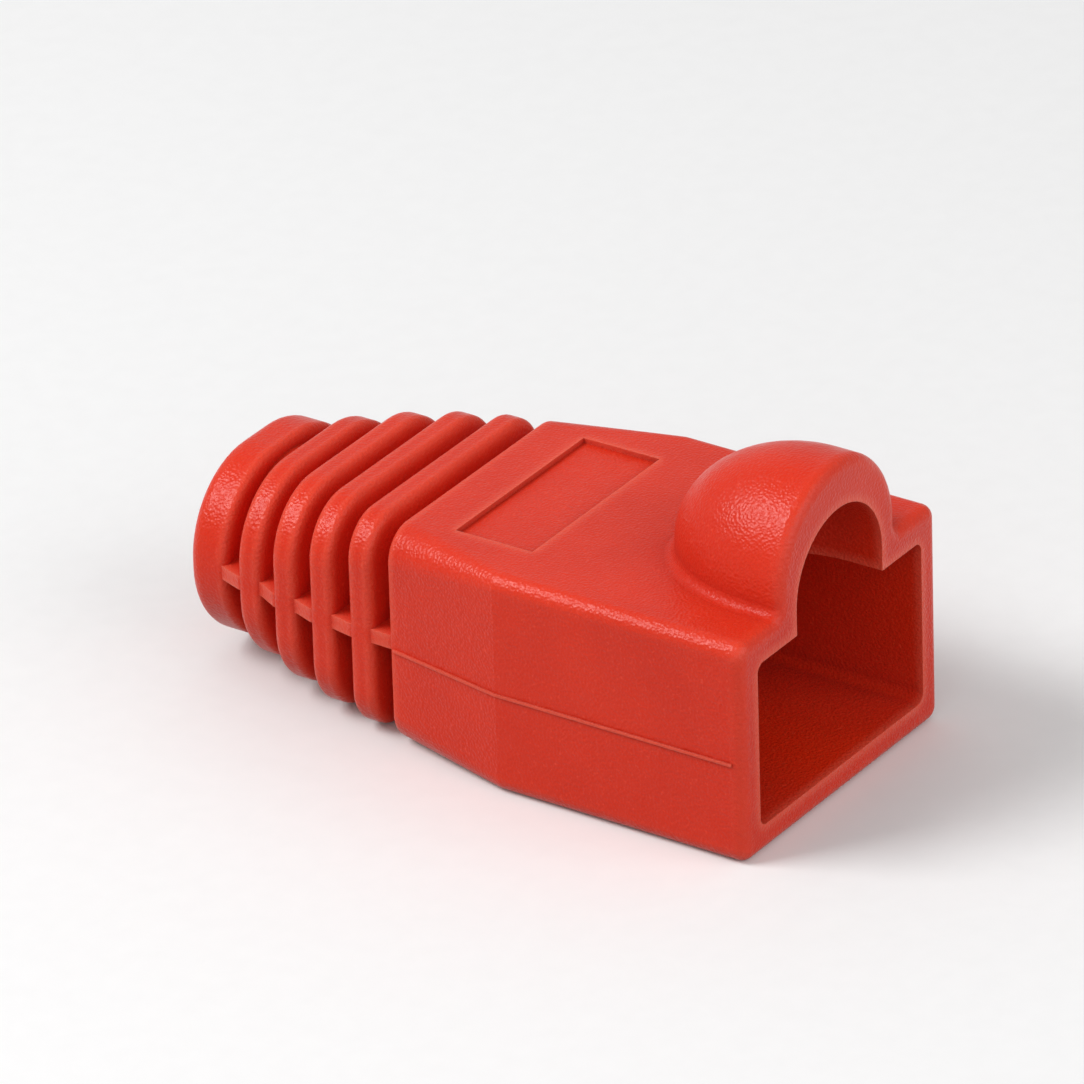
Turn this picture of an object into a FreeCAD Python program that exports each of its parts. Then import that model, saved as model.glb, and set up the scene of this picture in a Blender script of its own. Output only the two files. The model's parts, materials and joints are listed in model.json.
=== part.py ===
import FreeCAD, Part
import math
import os

# Strain relief boot for an eight-contact modular plug, moulded in one piece
# of soft PVC. Millimetres. X runs across the boot, Y from the plug opening
# to the cable end and Z up. The origin is the middle of the base.

# Housing: the hollow box that slides over the back of the plug
WIDTH = 13.8
HEIGHT = 9.35
FACET_START = 11.2
HOUSING_LENGTH = 16.7
FRONT_CORNER = 0.6
REAR_HALF_WIDTH = 5.95
REAR_CORNER = 1.4
REAR_DROP = 0.05
FACET_STATIONS = 5
MOUTH_ROUNDING = 0.48
RIM_ROUNDING = 0.2

# Socket: the hollow for the plug and the funnel that leads the cable out
SIDE_WALL = 1.15
FLAT_WALL = 1.2
SOCKET_CORNER = 0.4
SOCKET_DEPTH = 11.2
FUNNEL_LENGTH = 5.0
FUNNEL_OVERLAP = 1.2

# Tail: a round sleeve carrying ribs that turn from oblong to nearly round
GROOVE_COUNT = 5
GROOVE_WIDTH = 0.85
RIB_WIDTH = 1.1
RIB_ROUNDING = 0.3
TAIL_AXIS = 4.4
COLLAR_LENGTH = 1.8
COLLAR_HALF_WIDTH = 4.6
COLLAR_HALF_HEIGHT = 3.95
COLLAR_CORNER = 3.8
COLLAR_ROUNDING = 0.6
BORE_RADIUS = 2.9
SLEEVE_WALL = 0.6

# Webs that tie the ribs together, just above the mould parting plane
PARTING_HEIGHT = 4.3
WEB_HEIGHT = 0.6
WEB_RECESS = 0.08
FLOOR_WEB_WIDTH = 1.0
FLOOR_WEB_COUNT = 3

# Flash: the fine raised line left where the mould halves met
FLASH_REACH = 0.07
FLASH_HEIGHT = 0.12

# Latch cover: an arched hood over the release tab of the plug
HOOD_RADIUS = 4.1
HOOD_LEG = 0.65
HOOD_STRAIGHT = 1.4
HOOD_NOSE = 5.4
HOOD_FOOT = 0.4
HOLLOW_RADIUS = 3.0
HOLLOW_DROP = 0.15
HOOD_BACK_WALL = 1.1

# Shallow panel pressed into the top and into the base
PANEL_WIDTH = 8.8
PANEL_LENGTH = 3.5
PANEL_END_GAP = 2.2
PANEL_DEPTH = 0.2

# Extra length given to cutting solids so that they pass clean through
CUT_MARGIN = 1.0

PITCH = GROOVE_WIDTH + RIB_WIDTH
RIB_COUNT = GROOVE_COUNT - 1
TAIL_LENGTH = GROOVE_COUNT * GROOVE_WIDTH + RIB_COUNT * RIB_WIDTH
LENGTH = HOUSING_LENGTH + TAIL_LENGTH + COLLAR_LENGTH
FRONT = -LENGTH / 2
REAR = FRONT + HOUSING_LENGTH
COLLAR_START = REAR + TAIL_LENGTH
TAIL_END = COLLAR_START + COLLAR_LENGTH
WEB_END = COLLAR_START + RIB_ROUNDING
FACET = FRONT + FACET_START
HALF_WIDTH = WIDTH / 2
MIDDLE = HEIGHT / 2
SLEEVE_RADIUS = BORE_RADIUS + SLEEVE_WALL
CEILING = HEIGHT - FLAT_WALL
ALONG_Y = FreeCAD.Vector(0, 1, 0)


def between(start, end, share):
    return start + (end - start) * share


def outline(y, half_width, bottom, top, corner):
    """Closed oblong with round corners, standing across the boot at y."""
    slant = corner * math.sqrt(0.5)
    arcs = []
    for side, turn in ((1, 1), (-1, 1), (-1, -1), (1, -1)):
        level = top if turn > 0 else bottom
        centre = FreeCAD.Vector(side * (half_width - corner), y, level - turn * corner)
        upright = centre + FreeCAD.Vector(side * corner, 0, 0)
        middle = centre + FreeCAD.Vector(side * slant, 0, turn * slant)
        flat = centre + FreeCAD.Vector(0, 0, turn * corner)
        arcs.append((upright, middle, flat) if side == turn else (flat, middle, upright))
    edges = []
    for index, (start, middle, finish) in enumerate(arcs):
        following = arcs[(index + 1) % len(arcs)][0]
        edges.append(Part.Arc(start, middle, finish).toShape())
        edges.append(Part.LineSegment(finish, following).toShape())
    return Part.Wire(edges)


def skin(sections, ruled):
    return Part.makeLoft(sections, True, ruled)


def prism(section, length):
    return Part.Face(section).extrude(ALONG_Y * length)


def rod(radius, start, end, height):
    return Part.makeCylinder(radius, end - start, FreeCAD.Vector(0, start, height), ALONG_Y)


def block(x_size, y_start, y_end, z_start, z_end):
    corner = FreeCAD.Vector(-x_size / 2, y_start, z_start)
    return Part.makeBox(x_size, y_end - y_start, z_end - z_start, corner)


def plate(right_side, low, thickness):
    """Flat plate standing on the height low, its plan mirrored from the right side."""
    plan = right_side + [(-x, y) for x, y in reversed(right_side)]
    corners = [FreeCAD.Vector(x, y, low) for x, y in plan]
    return Part.Face(Part.makePolygon(corners + corners[:1])).extrude(FreeCAD.Vector(0, 0, thickness))


def edges_on(shape, y):
    """Edges that lie wholly in the plane across the boot at y."""
    found = []
    for edge in shape.Edges:
        if abs(edge.BoundBox.YMin - y) < 1e-4 and abs(edge.BoundBox.YMax - y) < 1e-4:
            found.append(edge)
    return found


def facet_outline(share):
    """Outline of the tapering back half of the housing."""
    y = between(FACET, REAR, share)
    half_width = between(HALF_WIDTH, REAR_HALF_WIDTH, share)
    drop = REAR_DROP * share ** 2
    corner = between(FRONT_CORNER, REAR_CORNER, share)
    return outline(y, half_width, drop, HEIGHT - drop, corner)


def rib_start(index):
    return REAR + GROOVE_WIDTH + index * PITCH


def tail_share(y):
    """Share of the taper reached at y, from 0 at the housing to 1 at the collar."""
    return ((y - REAR) / TAIL_LENGTH) ** 2


def tail_half_width(share):
    return between(REAR_HALF_WIDTH, COLLAR_HALF_WIDTH, share)


def tail_bottom(share):
    return between(REAR_DROP, TAIL_AXIS - COLLAR_HALF_HEIGHT, share)


def tail_outline(y, share):
    """Outline of a rib standing at y, oblong at the housing, nearly round at the collar."""
    top = between(HEIGHT - REAR_DROP, TAIL_AXIS + COLLAR_HALF_HEIGHT, share)
    corner = between(REAR_CORNER, COLLAR_CORNER, math.sqrt(share))
    return outline(y, tail_half_width(share), tail_bottom(share), top, corner)


def rib_share(index):
    return tail_share(rib_start(index) + RIB_WIDTH / 2)


def web_plan():
    """Right side of the webs in plan, stepping from rib to rib just inside their faces."""
    spots = [(REAR_HALF_WIDTH - WEB_RECESS, REAR - RIM_ROUNDING)]
    for index in range(RIB_COUNT):
        reach = tail_half_width(rib_share(index)) - WEB_RECESS
        spots.append((reach, rib_start(index)))
        spots.append((reach, rib_start(index) + RIB_WIDTH))
    return spots + [(COLLAR_HALF_WIDTH - WEB_RECESS, WEB_END)]


def foot_edges(shape):
    """Edges where the legs of the latch hood stand on the flat top."""
    found = []
    for edge in shape.Edges:
        box = edge.BoundBox
        level = abs(box.ZMin - HEIGHT) < 1e-4 and abs(box.ZMax - HEIGHT) < 1e-4
        inside = box.XMax < HOOD_RADIUS + 1e-4 and box.XMin > -HOOD_RADIUS - 1e-4
        if level and inside:
            found.append(edge)
    return found


def hood(radius, straight, nose, axis_height, foot_height, start):
    """Bullet lying along Y, with legs straight down to foot_height."""
    back = FreeCAD.Vector(0, start, axis_height)
    side = FreeCAD.Vector(radius, start, axis_height)
    centre = FreeCAD.Vector(0, start + straight, axis_height)
    shoulder = FreeCAD.Vector(radius, start + straight, axis_height)
    tip = FreeCAD.Vector(0, start + straight + nose, axis_height)
    long_end, short_end = (tip, shoulder) if nose > radius else (shoulder, tip)
    ellipse = Part.Ellipse(long_end, short_end, centre)
    edges = [Part.ArcOfEllipse(ellipse, 0, math.pi / 2).toShape()]
    for first, last in ((tip, back), (back, side), (side, shoulder)):
        edges.append(Part.LineSegment(first, last).toShape())
    half_plan = Part.Face(Part.Wire(Part.sortEdges(edges)[0]))
    bullet = half_plan.revolve(back, ALONG_Y, 360)
    leg = half_plan.extrude(FreeCAD.Vector(0, 0, foot_height - axis_height))
    other_leg = leg.mirror(FreeCAD.Vector(0, 0, 0), FreeCAD.Vector(1, 0, 0))
    return bullet.fuse([leg, other_leg]).removeSplitter()


def panel(body, level_shift, z_start, z_end):
    """Cutter for a shallow panel of even depth that follows the skin of body."""
    end = REAR - PANEL_END_GAP
    window = block(PANEL_WIDTH, end - PANEL_LENGTH, end, z_start, z_end)
    sunk = body.copy()
    sunk.translate(FreeCAD.Vector(0, 0, level_shift))
    return window.common(body).cut(sunk)


# Outer skin of the housing
front_outline = outline(FRONT, HALF_WIDTH, 0, HEIGHT, FRONT_CORNER)
front_half = prism(front_outline, FACET_START)
shares = [step / (FACET_STATIONS - 1) for step in range(FACET_STATIONS)]
rear_half = skin([facet_outline(share) for share in shares], False)
housing = front_half.fuse(rear_half).removeSplitter()
housing = housing.makeFillet(RIM_ROUNDING, edges_on(housing, REAR))
panels = [panel(housing, -PANEL_DEPTH, MIDDLE, HEIGHT), panel(housing, PANEL_DEPTH, 0, MIDDLE)]

# Latch hood blended into the top of the housing
hood_axis = HEIGHT + HOOD_LEG
hood_outer = hood(HOOD_RADIUS, HOOD_STRAIGHT, HOOD_NOSE, hood_axis, CEILING, FRONT)
housing = housing.fuse(hood_outer).removeSplitter()
housing = housing.makeFillet(HOOD_FOOT, foot_edges(housing))
housing = housing.makeFillet(MOUTH_ROUNDING, edges_on(housing, FRONT))

# Tail: sleeve, ribs, collar and the webs between them
tail = [rod(SLEEVE_RADIUS, REAR - CUT_MARGIN, TAIL_END - COLLAR_ROUNDING, TAIL_AXIS)]
for index in range(RIB_COUNT):
    start = rib_start(index)
    rib = prism(tail_outline(start, rib_share(index)), RIB_WIDTH)
    rims = edges_on(rib, start) + edges_on(rib, start + RIB_WIDTH)
    tail.append(rib.makeFillet(RIB_ROUNDING, rims))
collar = prism(tail_outline(COLLAR_START, 1), COLLAR_LENGTH)
collar = collar.makeFillet(COLLAR_ROUNDING, edges_on(collar, TAIL_END))
collar = collar.makeFillet(RIB_ROUNDING, edges_on(collar, COLLAR_START))
tail.append(collar)

flash_low = PARTING_HEIGHT - FLASH_HEIGHT / 2
tail.append(plate(web_plan(), flash_low, WEB_HEIGHT))

# Flash along both sides of the housing
side = HALF_WIDTH + FLASH_REACH
flash_end = REAR - RIM_ROUNDING
shoulder = between(HALF_WIDTH, REAR_HALF_WIDTH, (flash_end - FACET) / (REAR - FACET)) + FLASH_REACH
flash_side = [(side, FRONT + MOUTH_ROUNDING), (side, FACET), (shoulder, flash_end)]
tail.append(plate(flash_side, flash_low, FLASH_HEIGHT))

keel_start = COLLAR_START - FLOOR_WEB_COUNT * PITCH + RIB_WIDTH / 2
keel_low = tail_bottom(tail_share(keel_start)) + WEB_RECESS
keel_end_low = tail_bottom(1) + WEB_RECESS
keel_top = TAIL_AXIS - BORE_RADIUS
keel_spots = [(keel_start, keel_low), (keel_start, keel_top), (WEB_END, keel_top), (WEB_END, keel_end_low)]
keel_corners = [FreeCAD.Vector(-FLOOR_WEB_WIDTH / 2, y, z) for y, z in keel_spots]
keel_face = Part.Face(Part.makePolygon(keel_corners + keel_corners[:1]))
tail.append(keel_face.extrude(FreeCAD.Vector(FLOOR_WEB_WIDTH, 0, 0)))

# Hollows: socket, funnel, cable bore and the inside of the hood
mouth = FRONT - CUT_MARGIN
socket_end = FRONT + SOCKET_DEPTH
socket_half = HALF_WIDTH - SIDE_WALL
socket_back = outline(socket_end, socket_half, FLAT_WALL, CEILING, SOCKET_CORNER)
socket = prism(outline(mouth, socket_half, FLAT_WALL, CEILING, SOCKET_CORNER), SOCKET_DEPTH + CUT_MARGIN)
funnel_end = socket_end + FUNNEL_LENGTH
throat_corner = BORE_RADIUS - SOCKET_CORNER
throat_reach = BORE_RADIUS - SOCKET_CORNER / 2
throat = outline(funnel_end, throat_reach, TAIL_AXIS - throat_reach, TAIL_AXIS + throat_reach, throat_corner)
funnel = skin([socket_back, throat], True)
bore = rod(BORE_RADIUS, funnel_end - FUNNEL_OVERLAP, TAIL_END + CUT_MARGIN, TAIL_AXIS)
hollow_nose = HOOD_NOSE - HOOD_BACK_WALL
hollow_straight = HOOD_STRAIGHT + CUT_MARGIN
hollow_axis = HEIGHT - HOLLOW_DROP
hollow_foot = CEILING - CUT_MARGIN
hollow = hood(HOLLOW_RADIUS, hollow_straight, hollow_nose, hollow_axis, hollow_foot, mouth)

boot = housing.fuse(tail).removeSplitter()
for cutter in [socket, funnel, bore, hollow] + panels:
    boot = boot.cut(cutter)
boot = boot.removeSplitter()
os.makedirs("parts", exist_ok=True)
boot.Solids[0].exportStep("parts/boot.step")
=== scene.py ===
import bpy
import json
import math
from mathutils import Matrix, Vector


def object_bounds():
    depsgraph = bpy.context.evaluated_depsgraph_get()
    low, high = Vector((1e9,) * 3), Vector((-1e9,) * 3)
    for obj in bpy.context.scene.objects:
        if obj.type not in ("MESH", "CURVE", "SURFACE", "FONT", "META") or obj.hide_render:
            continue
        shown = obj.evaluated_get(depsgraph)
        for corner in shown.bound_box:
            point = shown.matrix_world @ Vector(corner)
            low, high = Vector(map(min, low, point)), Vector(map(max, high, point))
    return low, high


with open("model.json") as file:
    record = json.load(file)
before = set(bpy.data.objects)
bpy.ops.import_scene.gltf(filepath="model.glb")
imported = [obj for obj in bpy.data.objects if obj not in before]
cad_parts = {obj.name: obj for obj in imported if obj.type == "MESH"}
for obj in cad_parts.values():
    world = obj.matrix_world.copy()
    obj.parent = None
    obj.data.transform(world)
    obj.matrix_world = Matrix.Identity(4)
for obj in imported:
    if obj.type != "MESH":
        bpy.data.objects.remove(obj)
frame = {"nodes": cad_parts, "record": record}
cad_low, cad_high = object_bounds()
centre = (cad_low + cad_high) / 2
length = cad_high.y - cad_low.y
openings = frame["record"]["physics"]["openings"]
socket = next(opening for opening in openings if opening["name"] == "plug_socket")
socket_end = socket["box_m"][1][1]

# Camera, at the photograph's viewing angle and distance: degrees, metres and millimetres of lens
AZIMUTH = -55.4
ELEVATION = 28.1
ROLL = -1.8
DISTANCE = 0.453
LENS = 392
SENSOR_WIDTH = 36
NEAREST = 0.01
FARTHEST = 10

# Soft studio light: watts, size in metres, and place in lengths of the boot from its centre
LAMPS = [
    ("back_left", 0.84, 0.17, (-6.2, 6.9, 9.8)),
    ("back_right", 0.08, 0.35, (9.5, 7.0, 6.4)),
    ("side", 0.20, 0.30, (-10.0, -5.0, 4.0)),
    ("front", 0.38, 0.30, (0.0, -10.2, 4.4)),
]
AMBIENT = 0.37
WHITE = (1, 1, 1, 1)

# Floor: half its width and its drop below the boot, both in lengths of the boot
FLOOR_REACH = 60
FLOOR_DROP = 0.0005
# Paper: the two whites of its fibres, and the grey with which it lights the boot
PAPER_LIGHT = (0.95, 0.95, 0.95)
PAPER_DARK = (0.935, 0.935, 0.935)
PAPER_BOUNCE = (0.30, 0.30, 0.30)

# Colours of the plastic, with a painted highlight for edges and painted shade for corners and the
# socket
RED_DEEP = (0.715, 0.0250, 0.0040)
RED_BRIGHT = (0.770, 0.0300, 0.0055)
RED_SPECK = (0.860, 0.062, 0.024)
RED_EDGE_HIGHLIGHT = (0.890, 0.120, 0.065)
RED_CORNER_SHADE = (0.480, 0.012, 0.0022)
RED_SOCKET_SHADE = (0.260, 0.007, 0.003)

# Patterns: how many repeats there are to the metre
FIBRE_SCALE = 900
CLOUD_SCALE = 260
SPECK_SCALE = 5200
SATIN_SCALE = 1500
SWELL_SCALE = 700
GRAIN_SCALE = 8500

# How far, in metres, a point looks for edges, corners and enclosing walls
EDGE_REACH = 0.0005
CORNER_REACH = 0.0008
ENCLOSED_REACH = 0.006
NEARNESS_SAMPLES = 2

# Maps: the range that is read, from and to, and the values that its two ends become
CLOUD_MAP = (0.35, 0.65, 0, 1)
FIBRE_MAP = (0.3, 0.7, 0, 1)
SPECK_MAP = (0.60, 0.72, 0, 0.5)
# Painted highlight on rounded edges
EDGE_HIGHLIGHT_MAP = (0.60, 0.92, 0.9, 0)
# Painted shade in tight corners, also read for roughness
CORNER_SHADE_MAP = (0.40, 0.90, 0.55, 0)
ENCLOSED_MAP = (0.18, 0.70, 1, 0)
# How much painted shade darkens the socket, and how far behind the socket it ends
SOCKET_SHADE_SHARE = 0.8
SOCKET_SHADE_FADE = 0.0055

# Surface: roughness, shine, relief in metres, and light passing through
SATIN_MAP = (0.3, 0.7, 0.29, 0.37)
SHELTERED_MAP = (0, 0.5, 0.29, 0.9)
SHINE = 0.32
SOFTENING = 0.00004
SOFTENING_SAMPLES = 4
SWELL_HEIGHT = 0.00004
SWELL_STRENGTH = 0.12
GRAIN_HEIGHT = 0.000035
GRAIN_STRENGTH = 0.7
GRAIN_SMOOTHNESS = 0.4
INDEX = 1.5
SCATTER = 0.12
SCATTER_RADIUS = (1.0, 0.12, 0.06)
SCATTER_SCALE = 0.0006


def new_material(name):
    material = bpy.data.materials.new(name)
    material.use_nodes = True
    material.node_tree.nodes.clear()
    return material, material.node_tree.nodes, material.node_tree.links


def noise(nodes, links, place, scale, detail, roughness=0.5):
    node = nodes.new("ShaderNodeTexNoise")
    node.inputs["Scale"].default_value = scale
    node.inputs["Detail"].default_value = detail
    node.inputs["Roughness"].default_value = roughness
    links.new(place, node.inputs["Vector"])
    return node.outputs["Fac"]


def remap(nodes, links, value, low, high, out_low, out_high):
    node = nodes.new("ShaderNodeMapRange")
    node.inputs["From Min"].default_value = low
    node.inputs["From Max"].default_value = high
    node.inputs["To Min"].default_value = out_low
    node.inputs["To Max"].default_value = out_high
    links.new(value, node.inputs["Value"])
    return node.outputs["Result"]


def mix_colour(nodes, links, share, first, second):
    node = nodes.new("ShaderNodeMix")
    node.data_type = "RGBA"
    links.new(share, node.inputs["Factor"])
    for slot, value in ((node.inputs["A"], first), (node.inputs["B"], second)):
        if isinstance(value, tuple):
            slot.default_value = (*value, 1)
        else:
            links.new(value, slot)
    return node.outputs["Result"]


def combine(nodes, links, operation, first, second):
    node = nodes.new("ShaderNodeMath")
    node.operation = operation
    links.new(first, node.inputs[0])
    links.new(second, node.inputs[1])
    return node.outputs["Value"]


def granules(nodes, links, place):
    node = nodes.new("ShaderNodeTexVoronoi")
    node.feature = "SMOOTH_F1"
    node.inputs["Scale"].default_value = GRAIN_SCALE
    node.inputs["Smoothness"].default_value = GRAIN_SMOOTHNESS
    links.new(place, node.inputs["Vector"])
    return node.outputs["Distance"]


def nearness(nodes, distance, inside):
    """Falls from 1 where walls stand within the distance, in front of the surface or behind it."""
    node = nodes.new("ShaderNodeAmbientOcclusion")
    node.inside = inside
    node.only_local = True
    node.samples = NEARNESS_SAMPLES
    node.inputs["Distance"].default_value = distance
    return node.outputs["AO"]


def bump(nodes, links, height, normal, strength, distance):
    node = nodes.new("ShaderNodeBump")
    node.inputs["Strength"].default_value = strength
    node.inputs["Distance"].default_value = distance
    links.new(height, node.inputs["Height"])
    links.new(normal, node.inputs["Normal"])
    return node.outputs["Normal"]


def soft_pvc():
    """Satin red PVC with the fine spark grain of its mould, a painted highlight on edges and painted
    shade in corners and the socket.
    """
    material, nodes, links = new_material("soft_red_pvc")
    place = nodes.new("ShaderNodeTexCoord").outputs["Object"]
    output = nodes.new("ShaderNodeOutputMaterial")
    shader = nodes.new("ShaderNodeBsdfPrincipled")
    links.new(shader.outputs["BSDF"], output.inputs["Surface"])

    cloud = noise(nodes, links, place, CLOUD_SCALE, detail=3)
    cloud = remap(nodes, links, cloud, *CLOUD_MAP)
    body = mix_colour(nodes, links, cloud, RED_DEEP, RED_BRIGHT)
    speck = noise(nodes, links, place, SPECK_SCALE, detail=2, roughness=0.6)
    speck = remap(nodes, links, speck, *SPECK_MAP)
    body = mix_colour(nodes, links, speck, body, RED_SPECK)

    # Painted highlight makes rounded edges a little paler than the faces, painted shade makes tight
    # corners a little darker
    painted_highlight = remap(nodes, links, nearness(nodes, EDGE_REACH, inside=True), *EDGE_HIGHLIGHT_MAP)
    body = mix_colour(nodes, links, painted_highlight, body, RED_EDGE_HIGHLIGHT)
    corner = remap(nodes, links, nearness(nodes, CORNER_REACH, inside=False), *CORNER_SHADE_MAP)
    body = mix_colour(nodes, links, corner, body, RED_CORNER_SHADE)

    # Painted shade: the inside of the socket is painted a darker red, which fades out along the funnel
    enclosed = remap(nodes, links, nearness(nodes, ENCLOSED_REACH, inside=False), *ENCLOSED_MAP)
    along = nodes.new("ShaderNodeSeparateXYZ")
    links.new(place, along.inputs["Vector"])
    faded = socket_end + SOCKET_SHADE_FADE
    ahead = remap(nodes, links, along.outputs["Y"], socket_end, faded, SOCKET_SHADE_SHARE, 0)
    socket_shade = combine(nodes, links, "MULTIPLY", enclosed, ahead)
    body = mix_colour(nodes, links, socket_shade, body, RED_SOCKET_SHADE)
    links.new(body, shader.inputs["Base Color"])

    # Corners and enclosed places are rougher, so that they mirror less of the white around
    satin = noise(nodes, links, place, SATIN_SCALE, detail=3)
    satin = remap(nodes, links, satin, *SATIN_MAP)
    sheltered = combine(nodes, links, "MAXIMUM", corner, enclosed)
    matted = remap(nodes, links, sheltered, *SHELTERED_MAP)
    links.new(combine(nodes, links, "MAXIMUM", satin, matted), shader.inputs["Roughness"])

    # Softened edges, then wide swells, then the grain
    softened = nodes.new("ShaderNodeBevel")
    softened.samples = SOFTENING_SAMPLES
    softened.inputs["Radius"].default_value = SOFTENING
    swells = noise(nodes, links, place, SWELL_SCALE, detail=2)
    normal = softened.outputs["Normal"]
    normal = bump(nodes, links, swells, normal, SWELL_STRENGTH, SWELL_HEIGHT)
    normal = bump(nodes, links, granules(nodes, links, place), normal, GRAIN_STRENGTH, GRAIN_HEIGHT)
    links.new(normal, shader.inputs["Normal"])

    shader.inputs["IOR"].default_value = INDEX
    shader.inputs["Specular IOR Level"].default_value = SHINE
    shader.inputs["Subsurface Weight"].default_value = SCATTER
    shader.inputs["Subsurface Radius"].default_value = SCATTER_RADIUS
    shader.inputs["Subsurface Scale"].default_value = SCATTER_SCALE
    return material


def paper_floor():
    """Paper that is white to the eye and keeps the boot's shadow, but lights the boot as a grey one."""
    material, nodes, links = new_material("white_floor")
    place = nodes.new("ShaderNodeTexCoord").outputs["Object"]
    fibre = noise(nodes, links, place, FIBRE_SCALE, detail=4)
    fibre = remap(nodes, links, fibre, *FIBRE_MAP)
    bright = mix_colour(nodes, links, fibre, PAPER_LIGHT, PAPER_DARK)
    path = nodes.new("ShaderNodeLightPath")
    glossy = path.outputs["Is Glossy Ray"]
    passing = path.outputs["Is Transmission Ray"]
    seen = combine(nodes, links, "MAXIMUM", glossy, passing)
    seen = combine(nodes, links, "MAXIMUM", path.outputs["Is Camera Ray"], seen)
    matt = nodes.new("ShaderNodeBsdfDiffuse")
    links.new(mix_colour(nodes, links, seen, PAPER_BOUNCE, bright), matt.inputs["Color"])
    output = nodes.new("ShaderNodeOutputMaterial")
    links.new(matt.outputs["BSDF"], output.inputs["Surface"])
    return material


boot = frame["nodes"]["boot"]
boot.data.materials.clear()
boot.data.materials.append(soft_pvc())

# Floor
half = length * FLOOR_REACH
mesh = bpy.data.meshes.new("floor")
corners = [(-half, -half, 0), (half, -half, 0), (half, half, 0), (-half, half, 0)]
mesh.from_pydata(corners, [], [(0, 1, 2, 3)])
floor = bpy.data.objects.new("floor", mesh)
floor.location.z = cad_low.z - length * FLOOR_DROP
bpy.context.scene.collection.objects.link(floor)
mesh.materials.append(paper_floor())

# Lamps
for name, watts, size, place in LAMPS:
    lamp = bpy.data.lights.new(name, "AREA")
    lamp.energy = watts
    lamp.size = size
    holder = bpy.data.objects.new(name, lamp)
    holder.location = centre + Vector(place) * length
    holder.rotation_euler = (centre - holder.location).to_track_quat("-Z", "Y").to_euler()
    bpy.context.scene.collection.objects.link(holder)

# World: plain grey light on the boot, white where the camera sees it
world = bpy.data.worlds.new("studio")
bpy.context.scene.world = world
world.use_nodes = True
nodes = world.node_tree.nodes
links = world.node_tree.links
nodes.clear()
path = nodes.new("ShaderNodeLightPath")
strength = remap(nodes, links, path.outputs["Is Camera Ray"], 0, 1, AMBIENT, 1)
sky = nodes.new("ShaderNodeBackground")
sky.inputs["Color"].default_value = WHITE
links.new(strength, sky.inputs["Strength"])
links.new(sky.outputs["Background"], nodes.new("ShaderNodeOutputWorld").inputs["Surface"])

# Camera
azimuth = math.radians(AZIMUTH)
elevation = math.radians(ELEVATION)
level = math.cos(elevation)
back = Vector((math.sin(azimuth) * level, -math.cos(azimuth) * level, math.sin(elevation)))
camera = bpy.data.objects.new("camera", bpy.data.cameras.new("camera"))
camera.data.lens = LENS
camera.data.sensor_width = SENSOR_WIDTH
camera.data.clip_start = NEAREST
camera.data.clip_end = FARTHEST
rolled = Matrix.Rotation(math.radians(ROLL), 4, "Z")
turned = (-back).to_track_quat("-Z", "Y").to_matrix().to_4x4() @ rolled
camera.matrix_world = Matrix.Translation(centre + back * DISTANCE) @ turned
bpy.context.scene.collection.objects.link(camera)
bpy.context.scene.camera = camera

bpy.context.scene.view_settings.view_transform = "Standard"

bpy.context.view_layer.update()
